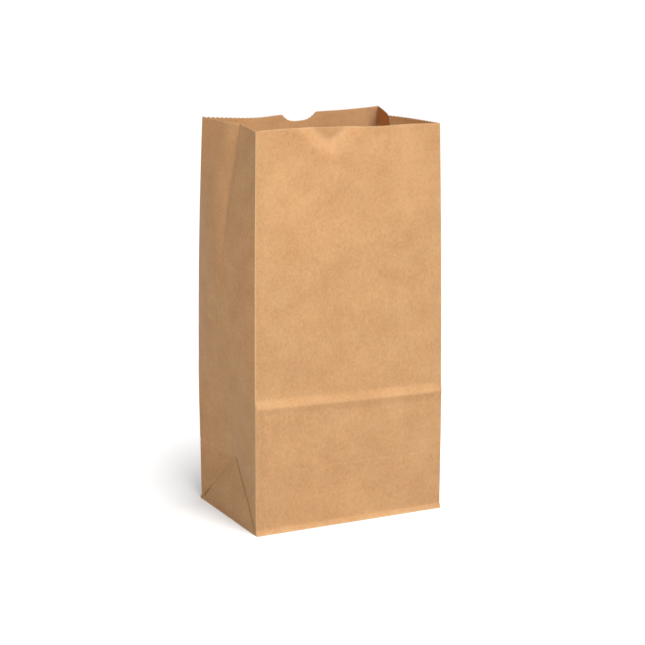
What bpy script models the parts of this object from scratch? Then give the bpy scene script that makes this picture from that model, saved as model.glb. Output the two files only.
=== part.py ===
"""Brown paper lunch bag, standing open.

One sheet of kraft paper, folded into a gusseted tube and pasted: a block bottom of two
overlapping flaps, a lap seam down the inside of the back panel, pressed creases, a saw-cut
mouth and a thumb notch in the back panel. Metres, +Z up, front panel facing -Y.
"""
import bpy
import bmesh
from math import sqrt
from mathutils import Vector
from mathutils.geometry import delaunay_2d_cdt

# Driving dimensions
WIDTH = 0.14986          # 5.9 in, across the front panel
DEPTH = 0.0889           # 3.5 in, across the unfolded gusset
HEIGHT = 0.2794          # 11 in, from the base to the tips of the saw cut
SHEET = 0.0001           # one thickness of kraft

# Saw-cut mouth and thumb notch
TEETH_PER_CELL = 4
PANEL_CELLS = 14         # 56 teeth across a panel
GUSSET_CELLS = 4         # 16 teeth across half a gusset
TOOTH_DEPTH = 0.0008
NOTCH_HALF_WIDTH = 0.0155
NOTCH_DEPTH = 0.0055
MOUTH_BAND = 0.009       # plain strip below the saw cut, deeper than the notch

# Block bottom
FLAP_LENGTH = DEPTH / 2 + 0.010     # both flaps pass the middle, so they overlap by 20 mm
STEP_RUN = 0.00025                  # width of the small slope at a sheet's edge
FOLD_INSET = 0.0008                 # the fold round the base is this much inside the walls
FOLD_HEIGHT = 0.003
FRONT_FLAP_Z = SHEET
EAR_Z = 3 * SHEET
FLOOR_LOW_Z = 3 * SHEET
FLOOR_HIGH_Z = 4 * SHEET

# Pressed creases
RIDGE_HEIGHT = 0.0892    # soft ridge across the front, where the base lay when folded flat
RIDGE_RISE = 0.0016
RIDGE_HALF_WIDTH = 0.005
CREASE_DEPTH = 0.0004
CREASE_HALF_WIDTH = 0.002

# Where each crease stands at the mouth, from its place over the base: (x, y, z)
MOUTH_SHIFT = {
    "front_left": (-0.0037, 0.0045, 0.0012),
    "front_right": (-0.0072, 0.0098, 0.0),
    "back_right": (-0.0091, 0.0034, 0.0017),
    "back_left": (-0.0020, 0.0023, -0.0004),
}
# How far each crease swells outward at the belly: (x, y)
BELLY_SWELL = {
    "front_left": (-0.0006, -0.0003),
    "front_right": (0.0010, -0.0003),
    "back_right": (0.0010, 0.0006),
    "back_left": (-0.0020, 0.0006),
}
BELLY_HEIGHT = 0.105
# How far each gusset's middle crease is tucked in (+) or popped out (-): (height, tuck)
LEFT_TUCK = ((0.0, 0.0), (DEPTH / 2, 0.0064), (0.070, 0.0028), (0.105, -0.0020),
             (0.165, -0.0048), (0.229, 0.0018), (HEIGHT, 0.0093))
RIGHT_TUCK = ((0.0, 0.0), (DEPTH / 2, 0.0050), (0.070, 0.0020), (0.110, -0.0020),
              (0.170, 0.0005), (0.229, 0.0085), (HEIGHT, 0.0170))
# How far the mouth's edge is bowed in across a panel: (share of the panel from its left, bow)
FRONT_BOW = ((0.0, 0.0), (0.08, 0.0042), (0.20, 0.0068), (0.42, 0.0058), (0.55, 0.0010),
             (0.65, 0.0), (0.88, 0.0022), (1.0, 0.0))
BACK_BOW = ((0.0, 0.0), (0.10, 0.0100), (0.22, 0.0180), (0.38, 0.0130), (0.60, 0.0078),
            (0.80, 0.0062), (1.0, 0.0))
FRONT_BOW_FADES_AT = HEIGHT - 0.090
BACK_BOW_FADES_AT = 0.060

CORNERS = {"front_left": (-1, -1), "front_right": (1, -1), "back_right": (1, 1), "back_left": (-1, 1)}
# The walls in order round the bag, counterclockwise from above: (wall, from crease, to crease)
WALLS = (
    ("front", "front_left", "front_right"),
    ("right_gusset", "front_right", "right_middle"),
    ("right_gusset", "right_middle", "back_right"),
    ("back", "back_right", "back_left"),
    ("left_gusset", "back_left", "left_middle"),
    ("left_gusset", "left_middle", "front_left"),
)
ROWS = (0.0, FOLD_HEIGHT, DEPTH / 8, DEPTH / 4, DEPTH * 3 / 8, DEPTH / 2, 0.065,
        RIDGE_HEIGHT - RIDGE_HALF_WIDTH, RIDGE_HEIGHT, RIDGE_HEIGHT + RIDGE_HALF_WIDTH,
        0.115, 0.145, 0.180, 0.215, 0.243, HEIGHT - MOUTH_BAND)


def smoothstep(value):
    value = min(1.0, max(0.0, value))
    return value * value * (3 - 2 * value)


def curve_through(points, at):
    """A smooth curve through (place, value) points, read at one place."""
    for index in range(len(points) - 1):
        (x0, y0), (x1, y1) = points[index], points[index + 1]
        if at <= x1 or index == len(points) - 2:
            before = points[max(index - 1, 0)]
            after = points[min(index + 2, len(points) - 1)]
            slope0 = (y1 - before[1]) / (x1 - before[0])
            slope1 = (after[1] - y0) / (after[0] - x0)
            run = x1 - x0
            t = (at - x0) / run
            return ((2 * t**3 - 3 * t**2 + 1) * y0 + (t**3 - 2 * t**2 + t) * run * slope0
                    + (3 * t**2 - 2 * t**3) * y1 + (t**3 - t**2) * run * slope1)


def fold_inset(z):
    """The walls curl in under the bag at the fold round the base."""
    return FOLD_INSET * (1 - smoothstep(z / FOLD_HEIGHT))


def corner_place(name, z):
    """A corner crease at one height: it leans with the mouth and swells at the belly."""
    side_x, side_y = CORNERS[name]
    base = Vector((side_x * (WIDTH / 2 - fold_inset(z)), side_y * (DEPTH / 2 - fold_inset(z)), z))
    rise = z / HEIGHT
    swell = 4 * rise * (1 - rise) if z > BELLY_HEIGHT else smoothstep(z / BELLY_HEIGHT)
    swell_x, swell_y = BELLY_SWELL[name]
    return base + Vector(MOUTH_SHIFT[name]) * rise + Vector((swell_x, swell_y, 0)) * swell


def gusset_place(side, z):
    """A gusset's middle crease, tucked in at the mouth and popped out lower down."""
    names = ("front_left", "back_left") if side == "left" else ("front_right", "back_right")
    tuck = curve_through(LEFT_TUCK if side == "left" else RIGHT_TUCK, z)
    middle = (corner_place(names[0], z) + corner_place(names[1], z)) / 2
    return middle + Vector((tuck if side == "left" else -tuck, 0, 0))


def crease_place(name, z):
    if name.endswith("middle"):
        return gusset_place(name.split("_")[0], z)
    return corner_place(name, z)


def groove(distance):
    return CREASE_DEPTH * max(0.0, 1 - abs(distance) / CREASE_HALF_WIDTH)


def relief(wall, share_from_front, z):
    """How far the wall stands in (+) or out (-) at its pressed creases."""
    if wall == "front":
        return -RIDGE_RISE * max(0.0, 1 - abs(z - RIDGE_HEIGHT) / RIDGE_HALF_WIDTH)
    if wall == "back":
        return groove(z - DEPTH / 2)
    from_corner = DEPTH * min(share_from_front, 1 - share_from_front)
    on_gusset = 0 < from_corner < DEPTH / 2 - CREASE_HALF_WIDTH
    diagonal = groove((z - from_corner) / sqrt(2)) if on_gusset and z > FOLD_HEIGHT else 0.0
    across = groove(z - DEPTH / 2) if on_gusset and share_from_front > 0.5 else 0.0
    return max(diagonal, across)


def wall_place(wall, start, end, share, z):
    """A point of the outer skin: share runs 0 to 1 from one crease to the next."""
    a, b = crease_place(start, z), crease_place(end, z)
    inward = Vector((a.y - b.y, b.x - a.x, 0)).normalized()
    if wall == "front":
        fade = smoothstep((z - FRONT_BOW_FADES_AT) / (HEIGHT - FRONT_BOW_FADES_AT))
        depth = fade * curve_through(FRONT_BOW, share) + relief(wall, 0, z)
    elif wall == "back":
        fade = smoothstep((z - BACK_BOW_FADES_AT) / (HEIGHT - BACK_BOW_FADES_AT))
        depth = fade * curve_through(BACK_BOW, 1 - share) + relief(wall, 1, z)
    else:
        halves = {"front_right": share / 2, "right_middle": 0.5 + share / 2,
                  "back_left": 1 - share / 2, "left_middle": 0.5 - share / 2}
        depth = relief(wall, halves[start], z)
    return a.lerp(b, share) + inward * depth


def notch_depth(wall, share):
    """Depth of the thumb notch below the saw cut, across the back panel."""
    across = abs(share - 0.5) * WIDTH / NOTCH_HALF_WIDTH
    return NOTCH_DEPTH * (1 - across**3) if wall == "back" and across < 1 else 0.0


class Column:
    """One line of points up the outer skin, with the saw-cut points of the cell after it."""

    def __init__(self, wall, start, end, index, cells):
        self.wall = wall
        share = index / cells
        self.points = [wall_place(wall, start, end, share, z) for z in ROWS]
        self.cut = []
        for step in range(2 * TEETH_PER_CELL):
            at = (index + step / (2 * TEETH_PER_CELL)) / cells
            tip_drop = TOOTH_DEPTH * (1 - step % 2)
            height = HEIGHT - tip_drop - notch_depth(wall, at)
            self.cut.append(wall_place(wall, start, end, at, height))


def make_columns():
    columns = []
    for wall, start, end in WALLS:
        cells = PANEL_CELLS if wall in ("front", "back") else GUSSET_CELLS
        columns += [Column(wall, start, end, index, cells) for index in range(cells)]
    return columns


def skin_faces(low, high, next_low, next_high, cut, next_cut):
    """Faces of one cell: quads up the wall, a fan to the valleys, and the teeth."""
    valleys = cut[0::2] + [next_cut]
    tips = cut[1::2]
    faces = [(low[i], next_low[i], next_high[i], high[i]) for i in range(len(low))]
    middle = TEETH_PER_CELL // 2
    left, right = high[-1], next_high[-1]
    faces += [(left, valleys[i + 1], valleys[i]) for i in range(middle)]
    faces.append((left, right, valleys[middle]))
    faces += [(right, valleys[i + 1], valleys[i]) for i in range(middle, TEETH_PER_CELL)]
    faces += [(valleys[i], valleys[i + 1], tips[i]) for i in range(TEETH_PER_CELL)]
    return faces


def add_skin(bm, columns):
    """The outer skin of the walls; returns its vertices, column by column."""
    rows = [[bm.verts.new(p) for p in column.points] for column in columns]
    cuts = [[bm.verts.new(p) for p in column.cut] for column in columns]
    for i in range(len(columns)):
        j = (i + 1) % len(columns)
        for face in skin_faces(rows[i][:-1], rows[i][1:], rows[j][:-1], rows[j][1:],
                               cuts[i], cuts[j][0]):
            bm.faces.new(face)
    return rows, cuts


def add_lining(bm, rows, cuts, columns, seam_start):
    """The inner skin, one sheet in from the outer one and two sheets in along the lap seam."""
    bm.normal_update()

    def inside(vert, sheets_of_seam):
        place = vert.co - vert.normal * SHEET * vert.calc_shell_factor()
        return place + Vector((0, -SHEET * sheets_of_seam, 0))

    def column_inside(i, sheets):
        line = [bm.verts.new(inside(v, sheets)) for v in rows[i]]
        line[0].co.z = FLOOR_HIGH_Z
        return line

    def cut_inside(i, sheets, first=0):
        return [bm.verts.new(inside(v, sheets)) for v in cuts[i][first:]]

    in_seam = [i == seam_start for i in range(len(columns))]
    lines = [column_inside(i, in_seam[i]) for i in range(len(columns))]
    tops = [cut_inside(i, in_seam[i]) for i in range(len(columns))]
    # the free edge of the seam stands one sheet proud of the back panel
    edge = seam_start + 1
    proud = column_inside(edge, 1)
    proud_top = bm.verts.new(inside(cuts[edge][0], 1))
    for i in range(len(columns)):
        j = (i + 1) % len(columns)
        after, after_top = (proud, proud_top) if in_seam[i] else (lines[j], tops[j][0])
        for face in skin_faces(lines[i][:-1], lines[i][1:], after[:-1], after[1:],
                               tops[i], after_top):
            bm.faces.new(reversed(face))
    step_line, step_proud = lines[edge] + [tops[edge][0]], proud + [proud_top]
    for k in range(len(step_line) - 1):
        bm.faces.new((step_proud[k + 1], step_line[k + 1], step_line[k], step_proud[k]))
    return lines, tops, proud, proud_top


def add_rim(bm, cuts, tops, proud_top, seam_start):
    """The cut edge of the sheet, all round the mouth."""
    count = len(cuts)
    for i in range(count):
        outer = cuts[i] + [cuts[(i + 1) % count][0]]
        inner = tops[i] + [proud_top if i == seam_start else tops[(i + 1) % count][0]]
        for k in range(len(outer) - 1):
            bm.faces.new((outer[k], outer[k + 1], inner[k + 1], inner[k]))
    edge = seam_start + 1
    bm.faces.new((cuts[edge][0], tops[edge][0], proud_top))


def inset(outline, distance):
    """A counterclockwise outline moved in by the same distance along every side."""
    moved = []
    for k, corner in enumerate(outline):
        before = (corner - outline[k - 1]).normalized()
        after = (outline[(k + 1) % len(outline)] - corner).normalized()
        normal = Vector((-before.y - after.y, before.x + after.x))
        share = 1 + before.dot(after)
        moved.append(corner + normal * distance / share)
    return moved


def bottom_regions():
    """The parts of the underside that stand at one level: (outline, z)."""
    x, y = WIDTH / 2 - FOLD_INSET, DEPTH / 2 - FOLD_INSET
    reach = FLAP_LENGTH
    left_apex, right_apex = Vector((-x + y, 0)), Vector((x - y, 0))
    left_end, right_end = Vector((-x + reach, y - reach)), Vector((x - reach, y - reach))
    front_left, front_right = Vector((-x, -y)), Vector((x, -y))
    back_left, back_right = Vector((-x, y)), Vector((x, y))
    return (
        ([back_right, back_left, left_apex, left_end, right_end, right_apex], 0.0),
        ([front_left, front_right, right_apex, right_end, left_end, left_apex], FRONT_FLAP_Z),
        ([front_left, left_apex, back_left], EAR_Z),
        ([front_right, back_right, right_apex], EAR_Z),
    )


def floor_region():
    """The middle of the floor inside, between the two gusset flaps."""
    x, y = WIDTH / 2 - FLAP_LENGTH, DEPTH / 2 - FOLD_INSET - SHEET
    return [Vector(p) for p in ((-x, -y), (x, -y), (x, y), (-x, y))]


def add_stepped_face(bm, ring, regions, upward):
    """Fills a ring of vertices, with flat regions at their own levels inside it."""
    flat = [vert.co.xy for vert in ring]
    edges = [(k, (k + 1) % len(ring)) for k in range(len(ring))]
    heights = {}
    for outline, z in regions:
        first = len(flat)
        points = inset(outline, STEP_RUN)
        flat += points
        edges += [(first + k, first + (k + 1) % len(points)) for k in range(len(points))]
        heights.update({first + k: z for k in range(len(points))})
    places, _, faces, origins, _, _ = delaunay_2d_cdt(flat, edges, [], 1, 1e-7)
    verts = []
    for place, origin in zip(places, origins):
        source = origin[0]
        if source < len(ring):
            verts.append(ring[source])
        else:
            verts.append(bm.verts.new((place.x, place.y, heights[source])))
    for face in faces:
        corners = [verts[k] for k in face]
        bm.faces.new(corners if upward else reversed(corners))


def make_material():
    material = bpy.data.materials.new("kraft_paper")
    material.use_nodes = True
    shader = material.node_tree.nodes["Principled BSDF"]
    shader.inputs["Base Color"].default_value = (0.50, 0.29, 0.14, 1)
    shader.inputs["Roughness"].default_value = 0.8
    shader.inputs["Metallic"].default_value = 0.0
    return material


def make_bag():
    bm = bmesh.new()
    columns = make_columns()
    seam_start = next(i for i, column in enumerate(columns) if column.wall == "back")
    rows, cuts = add_skin(bm, columns)
    lines, tops, proud, proud_top = add_lining(bm, rows, cuts, columns, seam_start)
    add_rim(bm, cuts, tops, proud_top, seam_start)
    add_stepped_face(bm, [line[0] for line in rows], bottom_regions(), upward=False)
    inner_ring = [line[0] for line in lines]
    inner_ring.insert(seam_start + 1, proud[0])
    add_stepped_face(bm, inner_ring, [(floor_region(), FLOOR_LOW_Z)], upward=True)
    bmesh.ops.triangulate(bm, faces=bm.faces)
    centre_on_origin(bm)
    mesh = bpy.data.meshes.new("paper_bag")
    bm.to_mesh(mesh)
    bm.free()
    mesh.materials.append(make_material())
    bag = bpy.data.objects.new("paper_bag", mesh)
    bpy.context.collection.objects.link(bag)


def centre_on_origin(bm):
    """The origin is at the middle of the bounding box, on the surface the bag stands on."""
    middle = [(min(v.co[k] for v in bm.verts) + max(v.co[k] for v in bm.verts)) / 2 for k in (0, 1)]
    bmesh.ops.translate(bm, verts=bm.verts, vec=(-middle[0], -middle[1], 0))


for old in list(bpy.data.objects):
    bpy.data.objects.remove(old)
make_bag()
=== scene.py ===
"""Looks of the brown paper lunch bag: one sheet of kraft, folded, pasted and opened by hand.

The paper is a closed thin shell worked out on a grid that follows the sheet: columns run up
from the base and rows run round the walls. Lengths are metres, and the front panel faces -Y.
"""

from math import cos, pi, radians, sin

import bpy
import numpy as np
from mathutils import Matrix, Vector
from mathutils.geometry import delaunay_2d_cdt


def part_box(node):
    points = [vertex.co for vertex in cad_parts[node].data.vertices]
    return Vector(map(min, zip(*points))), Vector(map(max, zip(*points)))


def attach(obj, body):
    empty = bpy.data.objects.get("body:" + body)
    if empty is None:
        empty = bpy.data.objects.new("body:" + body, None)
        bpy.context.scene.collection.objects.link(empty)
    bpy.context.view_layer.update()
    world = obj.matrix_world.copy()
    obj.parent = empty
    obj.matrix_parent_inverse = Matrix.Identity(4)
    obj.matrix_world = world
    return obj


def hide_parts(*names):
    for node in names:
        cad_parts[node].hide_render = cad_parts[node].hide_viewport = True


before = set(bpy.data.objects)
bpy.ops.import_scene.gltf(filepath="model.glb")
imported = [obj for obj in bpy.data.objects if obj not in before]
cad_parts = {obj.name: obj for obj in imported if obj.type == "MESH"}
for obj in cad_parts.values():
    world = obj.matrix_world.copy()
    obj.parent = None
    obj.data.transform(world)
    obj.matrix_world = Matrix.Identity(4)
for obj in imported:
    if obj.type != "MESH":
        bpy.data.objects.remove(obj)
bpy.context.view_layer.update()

# Sheet and base
WIDTH = 0.14986
DEPTH = 0.0889
HEIGHT = 0.2794
SHEET = 0.0001
HALF_GUSSET = DEPTH / 2

# Saw-cut mouth and thumb notch
PANEL_TEETH = 56
GUSSET_TEETH = 32
TOOTH_DEPTH = 0.0008
TOOTH_ROOT = 0.0003              # plain paper between the last full row and the valleys
NOTCH_HALF_WIDTH = 0.0155
NOTCH_DEPTH = 0.0055
MOUTH_BAND = 0.009

# Folds
FOLD_RADIUS = 0.0008             # how far from a crease the fold's rounding starts
FOLD_STEPS = (0.18, 0.36, 0.5, 0.64, 0.82)
RIDGE_HEIGHT = 0.0907            # soft ridge across the front panel, at its left end
RIDGE_DROP = 0.0205              # how far it drops for each metre across
RIDGE_RISE = 0.0026
RIDGE_STEP = 0.0015              # how far the paper below it stands out from the paper above
RIDGE_ABOVE = 0.0055
RIDGE_BELOW = 0.0048
LIP_HEIGHT = 0.0036              # flared fold along the foot of the front and back panels
LIP_OUT = 0.0024
LIP_CURL = 0.0005

# Lap seam, down the back panel beside its right-hand fold
SEAM_WIDTH = 0.0107
SEAM_EDGE = 0.0014
SEAM_STEP = 0.00005

# Block bottom
FLAP_LENGTH = DEPTH / 2 + 0.010
STEP_RUN = 0.00015
FRONT_FLAP_Z = SHEET
EAR_Z = 3 * SHEET
FLOOR_LOW_Z = 4 * SHEET
FLOOR_HIGH_Z = 5 * SHEET
BASE_GRID = 0.0045

# Where each corner crease stands at the mouth, from its place over the base: (x, y, z)
MOUTH_SHIFT = {
    "front_left": (-0.0037, 0.0045, 0.0012),
    "front_right": (-0.0072, 0.0098, 0.0),
    "back_right": (-0.0091, 0.0034, 0.0017),
    "back_left": (-0.0020, 0.0023, -0.0004),
}
# How far each corner crease swells outward at the belly: (x, y)
BELLY_SWELL = {
    "front_left": (-0.0006, -0.0003),
    "front_right": (0.0010, -0.0003),
    "back_right": (0.0010, 0.0006),
    "back_left": (-0.0020, 0.0006),
}
BELLY_HEIGHT = 0.105
# How far each gusset's middle crease is tucked in (+) or popped out (-): (height, tuck)
LEFT_TUCK = ((HALF_GUSSET, 0.0064), (0.070, 0.0028), (0.105, -0.0020), (0.165, -0.0048),
             (0.229, 0.0018), (HEIGHT, 0.0093))
RIGHT_TUCK = ((HALF_GUSSET, 0.0050), (0.070, 0.0020), (0.110, -0.0020), (0.170, 0.0005),
              (0.229, 0.0085), (HEIGHT, 0.0170))
# The valley along a gusset's middle crease, on its front and back halves:
# (slope into the crease at the mouth, how far the slope reaches)
LEFT_VALLEY = ((0.28, 0.025), (0.85, 0.010))
RIGHT_VALLEY = ((0.64, 0.100), (0.48, 0.100))
VALLEY_FOOT = 0.158
EAR_HOLLOW = 0.0006              # how far a gusset's foot is drawn in along its pressed diagonals
EAR_REACH = 0.0070
EAR_FURROW = 0.0008              # the creases themselves
EAR_SHARP = 0.0009
POCKET = 0.0018                  # where the paper doubles over at the foot of the back fold
POCKET_LENGTH = 0.018
POCKET_STEEP = 0.0012            # how fast it fades into the ear, and away from it
POCKET_SOFT = 0.0040
EAR_CORNER = 0.006               # near the base's corners the creases fade out
BASE_CREASE = 0.00015            # crease across a gusset's back half, level with the ear's tip
BASE_CREASE_WIDTH = 0.0008
# How far the mouth's edge is bowed in across a panel: (share of the panel from its left, bow)
FRONT_BOW = ((0.0, 0.0), (0.08, 0.0042), (0.20, 0.0068), (0.32, 0.0042), (0.42, 0.0026),
             (0.52, 0.0008), (0.65, 0.0), (0.88, 0.0022), (1.0, 0.0))
BACK_BOW = ((0.0, 0.0), (0.10, 0.0100), (0.22, 0.0180), (0.38, 0.0130), (0.60, 0.0078),
            (0.80, 0.0062), (1.0, 0.0))
FRONT_BOW_FADES_AT = HEIGHT - 0.090
BACK_BOW_FADES_AT = 0.060

# The V-shaped dent below the middle of the front panel's edge, in panel coordinates
DENT_X = 0.0620
DENT_FOOT = 0.2590
DENT_SPREAD = 1.20               # rise of the V's arms for each metre across
DENT_TIP_RADIUS = 0.0110
DENT_BAND = 0.0130               # height of the sloping band, outside to inside
DENT_SLOPE_IN = 0.42
DENT_SLOPE_OUT = 0.34
DENT_BEND = 0.0018

# Small hand dents on the front panel: (x from the left fold, height, half width, half height, depth)
FRONT_DENTS = (
    (0.0730, 0.2520, 0.0070, 0.0050, 0.00055),
    (0.0590, 0.2450, 0.0060, 0.0065, -0.00050),
    (0.0745, 0.2390, 0.0075, 0.0060, -0.00055),
    (0.0630, 0.2180, 0.0150, 0.0060, 0.00060),
    (0.0560, 0.2000, 0.0100, 0.0060, -0.00040),
    (0.0060, 0.1620, 0.0080, 0.0050, -0.00050),
    (0.0820, 0.1680, 0.0110, 0.0055, 0.00050),
    (0.0340, 0.1790, 0.0170, 0.0080, -0.00040),
    (0.1150, 0.1900, 0.0160, 0.0110, 0.00050),
    (0.1330, 0.1400, 0.0110, 0.0080, 0.00050),
)

# Kraft: linear colours of the paper's darker and paler clouds, and of its rubbed folds, which is also
# the colour of painted highlights
KRAFT_DARK = (0.373, 0.198, 0.091, 1)
KRAFT_PALE = (0.493, 0.287, 0.143, 1)
KRAFT_RUBBED_AND_HIGHLIGHT = (0.68, 0.46, 0.27, 1)
RUBBED_AND_HIGHLIGHT_SHARE = 0.45              # how near the most worn fold and the strongest painted highlight come to that colour
CREASE_SHADE = 0.40              # share of the colour left in the darkest crease
INNER_PAINTED_LIGHT = 0.35                # painted light: the inner skin is made a little paler, as if lit inside the bag
SCATTER_SHARE = 0.6              # thin paper lets light through
SCATTER_COLOUR = (1.0, 0.66, 0.42)
SCATTER_LENGTH = 0.0006

# Studio
FLOOR_HALF_SIZE = 60.0
FLOOR_GREY = (0.72, 0.72, 0.72, 1)
STRIP_SIZE = (0.9, 0.5)
STRIP_PLACE = (-0.12, -1.00, 0.85)
STRIP_AIM = (0, 0, 0.14)
STRIP_WATTS = 11.9
OVERHEAD_STRENGTH = 4.4
OVERHEAD_SPREAD = radians(40)
OVERHEAD_TURN = (radians(13), radians(3), 0)
SURROUND_STRENGTH = 0.12

# Camera
AZIMUTH = radians(-29.01)
ELEVATION = radians(13.79)
ROLL = radians(1.61)
DISTANCE = 1.371
AIM_X = -0.0023                  # from the middle of the base
AIM_HEIGHT = 0.1350
LENS_MM = 107.67
SENSOR_MM = 36

# Which side of the middle each corner crease stands on: (x, y)
CORNERS = {"front_left": (-1, -1), "front_right": (1, -1),
           "back_right": (1, 1), "back_left": (-1, 1)}
# The walls in order round the bag, counterclockwise from above: (wall, from corner, to corner)
WALLS = (("front", "front_left", "front_right"), ("right_gusset", "front_right", "back_right"),
         ("back", "back_right", "back_left"), ("left_gusset", "back_left", "front_left"))
WALL_LENGTH = {"front": WIDTH, "back": WIDTH, "right_gusset": DEPTH, "left_gusset": DEPTH}

randoms = np.random.default_rng(11)


def smoothstep(value):
    value = np.clip(value, 0, 1)
    return value * value * (3 - 2 * value)


def ramp(value, rounding):
    """Zero below zero and rising one for one above it, with a rounded bend."""
    return (value + np.sqrt(value**2 + rounding**2)) / 2


def curve_through(points, at):
    """A smooth curve through (place, value) points, read at an array of places."""
    places = np.array([p[0] for p in points])
    values = np.array([p[1] for p in points])
    slopes = np.gradient(values, places)
    at = np.clip(at, places[0], places[-1])
    index = np.clip(np.searchsorted(places, at, side="right") - 1, 0, len(places) - 2)
    run = places[index + 1] - places[index]
    t = (at - places[index]) / run
    return ((2 * t**3 - 3 * t**2 + 1) * values[index] + (t**3 - 2 * t**2 + t) * run * slopes[index]
            + (3 * t**2 - 2 * t**3) * values[index + 1] + (t**3 - t**2) * run * slopes[index + 1])


def make_waves(count, shortest, longest, slope):
    """Random gentle waves, each (phase, x wave number, z wave number, height)."""
    waves = []
    for _ in range(count):
        length = shortest * (longest / shortest) ** randoms.random()
        angle = randoms.random() * pi
        number = 2 * pi / length
        waves.append((randoms.random() * 2 * pi, number * cos(angle), number * sin(angle),
                      slope * (0.5 + randoms.random()) / number))
    return waves


def wave_height(waves, x, z):
    return sum(h * np.sin(phase + kx * x + kz * z) for phase, kx, kz, h in waves)


COCKLES = {wall: make_waves(9, 0.030, 0.110, 0.012) + make_waves(10, 0.008, 0.024, 0.006)
           for wall, _, _ in WALLS}


def corner_place(name, z):
    """A corner crease at an array of heights: it leans with the mouth and swells at the belly."""
    side_x, side_y = CORNERS[name]
    rise = (z / HEIGHT)[..., None]
    swell = np.where(z > BELLY_HEIGHT, 4 * rise[..., 0] * (1 - rise[..., 0]),
                     smoothstep(z / BELLY_HEIGHT))[..., None]
    base = np.stack([np.full_like(z, side_x * WIDTH / 2),
                     np.full_like(z, side_y * DEPTH / 2), z], -1)
    return base + np.array(MOUTH_SHIFT[name]) * rise + np.array([*BELLY_SWELL[name], 0]) * swell


def lip(z):
    """How far the flared fold along the foot of a panel stands out."""
    flare = 1 - ramp(z, 0.0004) / LIP_HEIGHT
    curl = 1 - np.clip(z / LIP_CURL, 0, 1)
    return LIP_OUT * ramp(flare, 0.08) - 0.5 * LIP_CURL * curl**2


def crease_line(distance, depth, half_width):
    return depth * np.exp(-(distance / half_width) ** 2)


def front_relief(x, z):
    bow = curve_through(FRONT_BOW, x / WIDTH)
    depth = bow * smoothstep((z - FRONT_BOW_FADES_AT) / (HEIGHT - FRONT_BOW_FADES_AT))
    # the V-shaped dent: in along the band, and part of the way out again inside it
    arm = np.sqrt((x - DENT_X) ** 2 + DENT_TIP_RADIUS**2) - DENT_TIP_RADIUS
    climb = z - DENT_FOOT - DENT_SPREAD * arm
    depth += DENT_SLOPE_IN * ramp(climb, DENT_BEND)
    depth -= (DENT_SLOPE_IN + DENT_SLOPE_OUT) * ramp(climb - DENT_BAND, DENT_BEND)
    for at_x, at_z, half_x, half_z, dent in FRONT_DENTS:
        depth += dent * np.exp(-(((x - at_x) / half_x) ** 2 + ((z - at_z) / half_z) ** 2))
    # the soft ridge where the base lay when the bag was folded flat
    over = z - (RIDGE_HEIGHT - RIDGE_DROP * x)
    above = ramp(1 - over / RIDGE_ABOVE, 0.10)
    below = ramp(1 + over / RIDGE_BELOW, 0.10)
    to_side = np.minimum(x, WIDTH - x)
    ridge = np.where(over > 0, RIDGE_RISE * above, RIDGE_STEP + (RIDGE_RISE - RIDGE_STEP) * below)
    depth -= ridge * smoothstep(z / 0.060) * (0.5 + 0.5 * smoothstep(to_side / 0.007))
    depth += crease_line(z - HALF_GUSSET, 0.00012, 0.0006)
    return depth - lip(z)


def back_relief(x, z):
    bow = curve_through(BACK_BOW, 1 - x / WIDTH)
    depth = bow * smoothstep((z - BACK_BOW_FADES_AT) / (HEIGHT - BACK_BOW_FADES_AT))
    depth += crease_line(z - HALF_GUSSET, 0.0007, 0.0011)
    depth += np.where(x < SEAM_EDGE, SHEET, 0)
    return depth - lip(z)


def gusset_relief(from_front, z, tuck_points, valley):
    """A gusset folds about its middle crease; at its foot a triangular ear leans in."""
    tuck = curve_through(tuck_points, z)
    off_middle = np.abs(from_front - HALF_GUSSET)
    share = off_middle / HALF_GUSSET
    back_half = from_front > HALF_GUSSET
    grown = smoothstep((z - HALF_GUSSET) / 0.06)
    flat = 1 - share
    depth = tuck * np.minimum(np.minimum(z / HALF_GUSSET, 1), flat + grown * share * flat)
    # the valley along the middle crease
    slope, reach = valley[1] if back_half else valley[0]
    climb = np.clip((z - VALLEY_FOOT) / (HEIGHT - VALLEY_FOOT), 0, 1)
    sharpness = smoothstep(2 * climb) * (0.7 + 0.3 * climb)
    depth -= slope * reach * (1 - np.exp(-off_middle / reach)) * flat * sharpness
    # pressed diagonals on both sides of the ear, and the pocket where the back one ends
    into_ear = HALF_GUSSET - off_middle - z
    pressed = EAR_HOLLOW * np.exp(-np.abs(into_ear) / EAR_REACH) \
        + crease_line(into_ear, EAR_FURROW, EAR_SHARP) * np.where(back_half, 0.35, 1)
    to_corner = np.hypot(HALF_GUSSET - off_middle, z)
    pocket = POCKET * smoothstep((POCKET_LENGTH - to_corner) / 0.014) \
        * np.exp(-np.abs(into_ear) / np.where(into_ear > 0, POCKET_STEEP, POCKET_SOFT))
    pressed += np.where(back_half, pocket, 0)
    depth += pressed * smoothstep((HALF_GUSSET - z) / 0.002) * smoothstep(z / 0.004) \
        * smoothstep(to_corner / EAR_CORNER)
    # the crease across the back half, level with the ear's tip
    across = crease_line(z - HALF_GUSSET, BASE_CREASE, BASE_CREASE_WIDTH)
    return depth - np.where(back_half, across, 0) * np.clip(20 * flat, 0, 1)


def wall_relief(wall, x, z):
    """How far a wall stands in from the flat between its corner creases; x runs from its start."""
    if wall == "front":
        depth = front_relief(x, z)
    elif wall == "back":
        depth = back_relief(x, z)
    elif wall == "left_gusset":
        depth = gusset_relief(DEPTH - x, z, LEFT_TUCK, LEFT_VALLEY)
    else:
        depth = gusset_relief(x, z, RIGHT_TUCK, RIGHT_VALLEY)
    to_crease = np.minimum(x, WALL_LENGTH[wall] - x)
    settle = smoothstep(to_crease / 0.012) * smoothstep((z - 0.004) / 0.012)
    return depth + settle * wave_height(COCKLES[wall], x, z)


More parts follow.
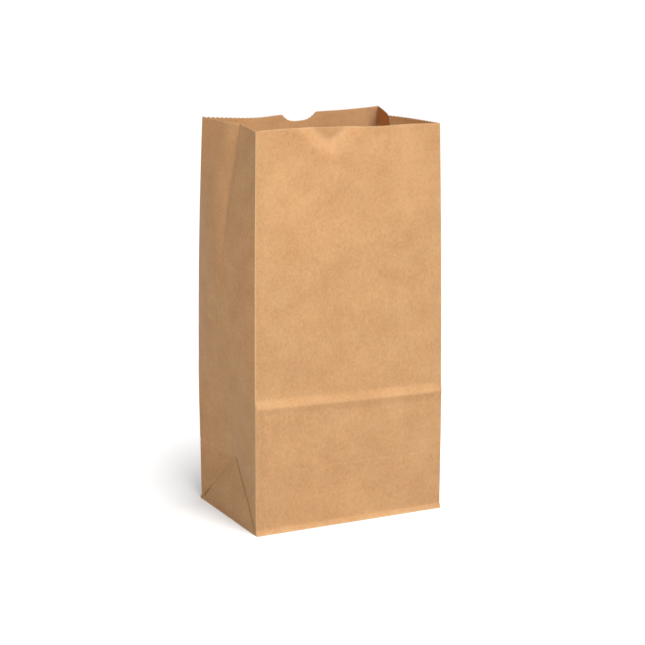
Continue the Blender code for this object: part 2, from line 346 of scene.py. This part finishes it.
def wall_place(wall, x, z):
    """Points of the outer skin for one column, at x metres along a wall and an array of heights."""
    start, end = next((a, b) for name, a, b in WALLS if name == wall)
    a, b = corner_place(start, z), corner_place(end, z)
    inward = np.stack([a[..., 1] - b[..., 1], b[..., 0] - a[..., 0], np.zeros_like(z)], -1)
    inward /= np.linalg.norm(inward, axis=-1, keepdims=True)
    depth = wall_relief(wall, x, z)[..., None]
    return a + (b - a) * x / WALL_LENGTH[wall] + inward * depth


def saw_cut(x, wall):
    """Height of the cut edge, and of the smooth line just below its teeth."""
    teeth = PANEL_TEETH if wall in ("front", "back") else GUSSET_TEETH
    phase = x / WALL_LENGTH[wall] * teeth
    tooth = 1 - abs(2 * (phase % 1) - 1)
    across = abs(x - WIDTH / 2) / NOTCH_HALF_WIDTH
    notch = NOTCH_DEPTH * (1 - across**3) if wall == "back" and across < 1 else 0.0
    root = HEIGHT - notch - TOOTH_DEPTH - TOOTH_ROOT
    return root + TOOTH_ROOT + TOOTH_DEPTH * tooth, root


def spaced(low, high, step):
    return np.linspace(low, high, max(1, round((high - low) / step)), endpoint=False)


PITCH = DEPTH / GUSSET_TEETH / 2  # rows as far apart as the columns keep the diagonals straight
SHARED_ROWS = np.concatenate([
    [PITCH, 0.0020, 2 * PITCH, 0.0034], PITCH * np.arange(3, 32),
    [0.0438, HALF_GUSSET, 0.0451, 0.0460],
    spaced(0.048, 0.082, 0.0036), spaced(0.082, 0.0965, 0.0010), spaced(0.0965, 0.130, 0.0055),
    spaced(0.130, 0.245, 0.0042), spaced(0.245, HEIGHT - MOUTH_BAND, 0.0014),
    [HEIGHT - MOUTH_BAND]])
OUTER_ROWS = np.concatenate([[0, 0.00015, 0.00035, 0.0007], SHARED_ROWS])
INNER_ROWS = np.concatenate([[0], SHARED_ROWS])
MOUTH_STEPS = np.array([0.17, 0.34, 0.51, 0.68, 0.85, 1.0])


def column_list():
    """Every column round the bag: (wall, x along it, crease or None, share through its fold)."""
    columns = []
    for number, (wall, _, _) in enumerate(WALLS):
        length = WALL_LENGTH[wall]
        teeth = PANEL_TEETH if wall in ("front", "back") else GUSSET_TEETH
        places = {round(k * length / teeth / 2, 7) for k in range(1, 2 * teeth)}
        places = {x for x in places if FOLD_RADIUS * 1.5 < x < length - FOLD_RADIUS * 1.5}
        places |= {FOLD_RADIUS, length - FOLD_RADIUS}
        if wall == "back":
            places |= {SEAM_EDGE - SEAM_STEP, SEAM_EDGE + SEAM_STEP,
                       SEAM_WIDTH - SEAM_STEP, SEAM_WIDTH + SEAM_STEP}
        crease_before = WALLS[number - 1][0]
        columns += [(wall, x_share, crease_before, x_share) for x_share in FOLD_STEPS]
        columns += [(wall, x, None, 0) for x in sorted(places)]
    return columns


def column_points(column, rows):
    """A column's points; in a fold they run round a curve from one wall to the next."""
    wall, x, wall_before, share = column
    if wall_before is None:
        top, root = saw_cut(x, wall)
        z = np.concatenate([rows, rows[-1] + (root - rows[-1]) * MOUTH_STEPS, [top]])
        return wall_place(wall, x, z)
    top, root = saw_cut(0.0, wall)
    z = np.concatenate([rows, rows[-1] + (root - rows[-1]) * MOUTH_STEPS, [top]])
    before = wall_place(wall_before, WALL_LENGTH[wall_before] - FOLD_RADIUS, z)
    after = wall_place(wall, FOLD_RADIUS, z)
    crease = (wall_place(wall_before, WALL_LENGTH[wall_before], z) + wall_place(wall, 0.0, z)) / 2
    return (1 - share) ** 2 * before + 2 * share * (1 - share) * crease + share**2 * after


def skin(columns, rows):
    return np.array([column_points(column, rows) for column in columns])


def outward_normals(points):
    around = np.roll(points, -1, axis=0) - np.roll(points, 1, axis=0)
    up = np.gradient(points, axis=1)
    normals = np.cross(around, up)
    return normals / np.linalg.norm(normals, axis=-1, keepdims=True)


def lining(columns):
    """The inner skin: one sheet in, and two along the lap seam. Its foot is on the floor."""
    points = skin(columns, INNER_ROWS)
    sheets = np.ones(len(columns))
    for k, (wall, x, wall_before, _) in enumerate(columns):
        if wall == "back" and wall_before is None and x < SEAM_WIDTH:
            sheets[k] = 2
    points = points - outward_normals(points) * SHEET * sheets[:, None, None]
    points[:, 0, 2] = FLOOR_HIGH_Z
    return points


def grid_faces(first, columns, rows, outward):
    faces = []
    for i in range(columns):
        j = (i + 1) % columns
        for k in range(rows - 1):
            quad = (first + i * rows + k, first + j * rows + k,
                    first + j * rows + k + 1, first + i * rows + k + 1)
            faces.append(quad if outward else quad[:1] + quad[:0:-1])
    return faces


def inset(outline, distance):
    """A counterclockwise outline moved in by the same distance along every side."""
    moved = []
    for k, corner in enumerate(outline):
        before = (corner - outline[k - 1]).normalized()
        after = (outline[(k + 1) % len(outline)] - corner).normalized()
        normal = Vector((-before.y - after.y, before.x + after.x))
        moved.append(corner + normal * distance / (1 + before.dot(after)))
    return moved


def bottom_regions():
    """The parts of the underside that stand at one level: (outline, z)."""
    x, y = WIDTH / 2 - 0.001, DEPTH / 2 - 0.0002
    reach = FLAP_LENGTH
    left_apex, right_apex = Vector((-x + y, 0)), Vector((x - y, 0))
    left_end, right_end = Vector((-x + reach, y - reach)), Vector((x - reach, y - reach))
    front_left, front_right = Vector((-x, -y)), Vector((x, -y))
    back_left, back_right = Vector((-x, y)), Vector((x, y))
    return (
        ([back_right, back_left, left_apex, left_end, right_end, right_apex], 0.0),
        ([front_left, front_right, right_apex, right_end, left_end, left_apex], FRONT_FLAP_Z),
        ([front_left, left_apex, back_left], EAR_Z),
        ([front_right, back_right, right_apex], EAR_Z),
    )


def floor_regions():
    x, y = WIDTH / 2 - FLAP_LENGTH, DEPTH / 2 - 0.001
    return (([Vector(p) for p in ((-x, -y), (x, -y), (x, y), (-x, y))], FLOOR_LOW_Z),)


def inside(outline, point):
    """Whether a point is in an outline, by counting crossings."""
    crossed = False
    for k, b in enumerate(outline):
        a = outline[k - 1]
        if (a.y > point.y) != (b.y > point.y):
            crossed ^= point.x < a.x + (b.x - a.x) * (point.y - a.y) / (b.y - a.y)
    return crossed


def base_sheet(ring, regions, default_z, upward, paste_waves):
    """Fills a ring of points with stepped, slightly wavy regions.

    ring holds the points' numbers and places; returns new points, and faces that use both.
    """
    flat = [Vector(place[:2]) for _, place in ring]
    edges = [(k, (k + 1) % len(ring)) for k in range(len(ring))]
    levels = {}
    for outline, z in regions:
        first = len(flat)
        corners = inset(outline, STEP_RUN)
        flat += corners
        edges += [(first + k, first + (k + 1) % len(corners)) for k in range(len(corners))]
        levels.update({first + k: z for k in range(len(corners))})
    x_low, x_high = min(p.x for p in flat) + 0.003, max(p.x for p in flat) - 0.003
    y_low, y_high = min(p.y for p in flat) + 0.003, max(p.y for p in flat) - 0.003
    for x in spaced(x_low, x_high, BASE_GRID):
        for y in spaced(y_low, y_high, BASE_GRID):
            point = Vector((x, y))
            homes = [z for outline, z in regions if inside(inset(outline, 3 * STEP_RUN), point)]
            on_edge = any(inside(inset(outline, -3 * STEP_RUN), point) for outline, _ in regions)
            if homes or not on_edge:
                levels[len(flat)] = homes[0] if homes else default_z
                flat.append(point)
    places, _, faces, origins, _, _ = delaunay_2d_cdt(flat, edges, [], 1, 1e-8)
    numbers, points = [], []
    for place, origin in zip(places, origins):
        source = origin[0]
        if source < len(ring):
            numbers.append(("ring", ring[source][0]))
            continue
        wave = abs(wave_height(paste_waves, place.x, place.y))
        numbers.append(("new", len(points)))
        points.append((place.x, place.y, levels[source] + wave))
    return points, [[numbers[k] for k in (face if upward else reversed(face))] for face in faces]


def wear_and_painted_light(columns, points):
    """How worn each outer point is, with painted light: 1 at the sharpest folds, a painted highlight on
    the V dent and the ridge, -1 as painted shade in the darkest creases, 0 elsewhere.
    """
    wear_light_shade = np.zeros(points.shape[:2])
    for k, (wall, x, wall_before, share) in enumerate(columns):
        z = points[k, :, 2]
        if wall_before is not None:
            wear_light_shade[k] = 1 - 1.4 * abs(share - 0.5)
            continue
        if wall in ("front", "back"):
            wear_light_shade[k] += 0.12 * np.exp(-((z - HALF_GUSSET) / 0.0005) ** 2)
        if wall == "front":
            # painted highlight: the V dent's band and the ridge's crest are made paler, where light
            # catches them
            climb = z - DENT_FOOT - DENT_SPREAD * abs(x - DENT_X)
            wear_light_shade[k] += 0.22 * smoothstep(climb / 0.004) * smoothstep((DENT_BAND - climb) / 0.004)
            wear_light_shade[k] += 0.2 * np.exp(-((z - RIDGE_HEIGHT + RIDGE_DROP * x) / 0.0010) ** 2)
        wear_light_shade[k] += 0.6 * np.exp(-((z - LIP_CURL) / 0.0005) ** 2)
        if "gusset" in wall:
            from_middle = abs(x - HALF_GUSSET)
            wear_light_shade[k] += 0.10 * np.exp(-(from_middle / 0.0006) ** 2) * (z > VALLEY_FOOT)
            back_half = (x > HALF_GUSSET) == (wall == "right_gusset")
            wear_light_shade[k] += back_half * 0.3 * np.exp(-((z - HALF_GUSSET) / 0.0005) ** 2)
            into_ear = HALF_GUSSET - from_middle - z
            # painted shade: darker along the pressed diagonals, darkest in the pocket at the foot of
            # the back fold
            shade = 0.12 + 0.88 * smoothstep((0.014 - z) / 0.008) if back_half else 0.32
            wear_light_shade[k] -= shade * np.exp(-(into_ear / 0.0008) ** 2) * smoothstep(z / 0.003)
    wear_light_shade[:, -1] = 1
    return np.clip(wear_light_shade, -1, 1)


def make_paper(columns):
    outer = skin(columns, OUTER_ROWS)
    inner = lining(columns)
    count, rows, inner_rows = len(columns), outer.shape[1], inner.shape[1]
    points = [tuple(p) for p in outer.reshape(-1, 3)] + [tuple(p) for p in inner.reshape(-1, 3)]
    first_inner = count * rows
    faces = grid_faces(0, count, rows, True) + grid_faces(first_inner, count, inner_rows, False)
    for i in range(count):
        j = (i + 1) % count
        faces.append((i * rows + rows - 1, j * rows + rows - 1,
                      first_inner + j * inner_rows + inner_rows - 1,
                      first_inner + i * inner_rows + inner_rows - 1))
    paste_waves = make_waves(12, 0.006, 0.030, 0.020)
    bottom_ring = [(i * rows, points[i * rows]) for i in range(count)]
    floor_ring = [(first_inner + i * inner_rows, points[first_inner + i * inner_rows])
                  for i in range(count)]
    for ring, regions, default_z, upward in (
            (bottom_ring, bottom_regions(), 0.0, False),
            (floor_ring, floor_regions(), FLOOR_HIGH_Z, True)):
        extra, sheet_faces = base_sheet(ring, regions, default_z, upward, paste_waves)
        start = len(points)
        points += extra
        faces += [[start + n if kind == "new" else n for kind, n in face] for face in sheet_faces]
    mesh = bpy.data.meshes.new("paper")
    mesh.from_pydata(points, [], faces)
    mesh.validate()
    worn_and_lit = np.zeros(len(mesh.vertices))
    worn_and_lit[:first_inner] = wear_and_painted_light(columns, outer).ravel()
    # painted light: the inner skin is made paler
    worn_and_lit[first_inner:first_inner + count * inner_rows] = INNER_PAINTED_LIGHT
    attribute = mesh.attributes.new("wear_and_painted_light", "FLOAT", "POINT")
    attribute.data.foreach_set("value", worn_and_lit.astype(np.float32))
    mesh.shade_smooth()
    mesh.set_sharp_from_angle(angle=radians(50))
    paper = bpy.data.objects.new("kraft_bag", mesh)
    bpy.context.collection.objects.link(paper)
    return paper


def centre_over_origin(paper):
    """Puts the paper in the frame's place: its box centred as the CAD box is; returns the shift."""
    mesh = paper.data
    places = np.empty(len(mesh.vertices) * 3)
    mesh.vertices.foreach_get("co", places)
    places = places.reshape(-1, 3)
    low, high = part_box("paper_bag")
    middle = (np.array(low) + np.array(high)) / 2
    shift = middle - (places.min(axis=0) + places.max(axis=0)) / 2
    shift[2] = 0
    mesh.vertices.foreach_set("co", (places + shift).ravel())
    mesh.update()
    return shift


def add_node(tree, kind, **values):
    node = tree.nodes.new(kind)
    for name, value in values.items():
        setattr(node, name, value)
    return node


def make_kraft():
    """Unbleached kraft: cloudy formation, pulp fibres along the sheet, flecks, worn folds, painted
    highlights, and painted shade in the creases.
    """
    material = bpy.data.materials.new("kraft")
    material.use_nodes = True
    tree = material.node_tree
    link = tree.links.new
    shader = tree.nodes["Principled BSDF"]
    shader.inputs["Specular IOR Level"].default_value = 0.02
    shader.inputs["Subsurface Weight"].default_value = SCATTER_SHARE
    shader.inputs["Subsurface Radius"].default_value = SCATTER_COLOUR
    shader.inputs["Subsurface Scale"].default_value = SCATTER_LENGTH
    place = add_node(tree, "ShaderNodeTexCoord").outputs["Object"]

    def noise(scale, detail, roughness, stretch=(1, 1, 1), distortion=0.0):
        mapping = add_node(tree, "ShaderNodeMapping")
        mapping.inputs["Scale"].default_value = stretch
        link(place, mapping.inputs["Vector"])
        texture = add_node(tree, "ShaderNodeTexNoise")
        texture.inputs["Scale"].default_value = scale
        texture.inputs["Detail"].default_value = detail
        texture.inputs["Roughness"].default_value = roughness
        texture.inputs["Distortion"].default_value = distortion
        link(mapping.outputs["Vector"], texture.inputs["Vector"])
        return texture.outputs["Fac"]

    def spread(value, low, high, to_low, to_high):
        node = add_node(tree, "ShaderNodeMapRange")
        for name, number in (("From Min", low), ("From Max", high),
                             ("To Min", to_low), ("To Max", to_high)):
            node.inputs[name].default_value = number
        link(value, node.inputs["Value"])
        return node.outputs["Result"]

    def times(a, b):
        node = add_node(tree, "ShaderNodeMath", operation="MULTIPLY")
        link(a, node.inputs[0])
        link(b, node.inputs[1])
        return node.outputs["Value"]

    clouds = noise(55, 4, 0.62)
    clumps = noise(420, 5, 0.70, distortion=0.4)
    fibres = noise(900, 3, 0.60, stretch=(1.0, 1.0, 0.5), distortion=0.6)
    flecks = noise(1500, 2, 0.50, stretch=(1.0, 1.0, 0.35))

    tone = add_node(tree, "ShaderNodeValToRGB")
    dark, pale = tone.color_ramp.elements
    dark.position, dark.color = 0.30, KRAFT_DARK
    pale.position, pale.color = 0.72, KRAFT_PALE
    mixed = add_node(tree, "ShaderNodeMix", data_type="FLOAT")
    mixed.inputs[0].default_value = 0.5
    link(clouds, mixed.inputs[2])
    link(clumps, mixed.inputs[3])
    link(mixed.outputs[0], tone.inputs["Fac"])

    streaks = times(spread(fibres, 0.30, 0.70, 0.93, 1.07), spread(flecks, 0.60, 0.78, 1.0, 0.80))
    wear_light_shade = add_node(tree, "ShaderNodeAttribute", attribute_name="wear_and_painted_light").outputs["Fac"]
    # painted shade: negative values of the attribute darken the colour in the creases and the pocket
    scaled = add_node(tree, "ShaderNodeVectorMath", operation="SCALE")
    link(tone.outputs["Color"], scaled.inputs[0])
    link(times(streaks, spread(wear_light_shade, -1.0, 0.0, CREASE_SHADE, 1.0)), scaled.inputs["Scale"])

    # worn folds paler towards the rubbed colour, with painted highlight on the V dent and the ridge and
    # painted light on the inner skin
    worn_and_lit = add_node(tree, "ShaderNodeMix", data_type="RGBA")
    link(spread(wear_light_shade, 0.0, 1.0, 0.0, RUBBED_AND_HIGHLIGHT_SHARE), worn_and_lit.inputs["Factor"])
    link(scaled.outputs["Vector"], worn_and_lit.inputs[6])
    worn_and_lit.inputs[7].default_value = KRAFT_RUBBED_AND_HIGHLIGHT
    link(worn_and_lit.outputs[2], shader.inputs["Base Color"])
    link(spread(clumps, 0.3, 0.7, 0.40, 0.52), shader.inputs["Roughness"])

    coarse = add_node(tree, "ShaderNodeBump")
    coarse.inputs["Strength"].default_value = 0.25
    coarse.inputs["Distance"].default_value = 0.00025
    link(clumps, coarse.inputs["Height"])
    fine = add_node(tree, "ShaderNodeBump")
    fine.inputs["Strength"].default_value = 0.20
    fine.inputs["Distance"].default_value = 0.00012
    link(fibres, fine.inputs["Height"])
    link(coarse.outputs["Normal"], fine.inputs["Normal"])
    link(fine.outputs["Normal"], shader.inputs["Normal"])
    return material


def make_floor():
    mesh = bpy.data.meshes.new("floor")
    half = FLOOR_HALF_SIZE
    mesh.from_pydata([(-half, -half, 0), (half, -half, 0), (half, half, 0), (-half, half, 0)],
                     [], [(0, 1, 2, 3)])
    floor = bpy.data.objects.new("floor", mesh)
    bpy.context.collection.objects.link(floor)
    material = bpy.data.materials.new("pale_floor")
    material.use_nodes = True
    shader = material.node_tree.nodes["Principled BSDF"]
    shader.inputs["Base Color"].default_value = FLOOR_GREY
    shader.inputs["Roughness"].default_value = 0.9
    shader.inputs["Specular IOR Level"].default_value = 0.1
    mesh.materials.append(material)


def add_lamp(name, kind, energy):
    light = bpy.data.lights.new(name, kind)
    light.energy = energy
    lamp = bpy.data.objects.new(name, light)
    bpy.context.collection.objects.link(lamp)
    return lamp


def make_lights():
    strip = add_lamp("strip", "AREA", STRIP_WATTS)
    strip.data.shape = "RECTANGLE"
    strip.data.size, strip.data.size_y = STRIP_SIZE
    strip.location = STRIP_PLACE
    strip.rotation_euler = (Vector(STRIP_AIM) - strip.location).to_track_quat("-Z", "Y").to_euler()
    overhead = add_lamp("overhead", "SUN", OVERHEAD_STRENGTH)
    overhead.data.angle = OVERHEAD_SPREAD
    overhead.rotation_euler = OVERHEAD_TURN
    world = bpy.data.worlds.new("studio")
    bpy.context.scene.world = world
    world.use_nodes = True
    background = world.node_tree.nodes["Background"]
    background.inputs["Color"].default_value = (1, 1, 1, 1)
    background.inputs["Strength"].default_value = SURROUND_STRENGTH


def make_camera(base):
    """A long lens at the height of a table view, with the horizon tipped a little."""
    target = Vector((base[0] + AIM_X, base[1], AIM_HEIGHT))
    back = Vector((sin(AZIMUTH) * cos(ELEVATION), -cos(AZIMUTH) * cos(ELEVATION), sin(ELEVATION)))
    right = (-back).cross(Vector((0, 0, 1))).normalized()
    up = right.cross(-back)
    rolled_right = right * cos(ROLL) + up * sin(ROLL)
    rolled_up = up * cos(ROLL) - right * sin(ROLL)
    data = bpy.data.cameras.new("camera")
    data.lens = LENS_MM
    data.sensor_width = SENSOR_MM
    camera = bpy.data.objects.new("camera", data)
    bpy.context.collection.objects.link(camera)
    turn = Matrix((rolled_right, rolled_up, back)).transposed().to_4x4()
    camera.matrix_world = Matrix.Translation(target + back * DISTANCE) @ turn
    bpy.context.scene.camera = camera


paper = make_paper(column_list())
base_shift = centre_over_origin(paper)
paper.data.materials.append(make_kraft())
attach(paper, "root")
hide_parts("paper_bag")

make_floor()
make_lights()
make_camera(base_shift)
bpy.context.scene.view_settings.view_transform = "Standard"

bpy.context.view_layer.update()
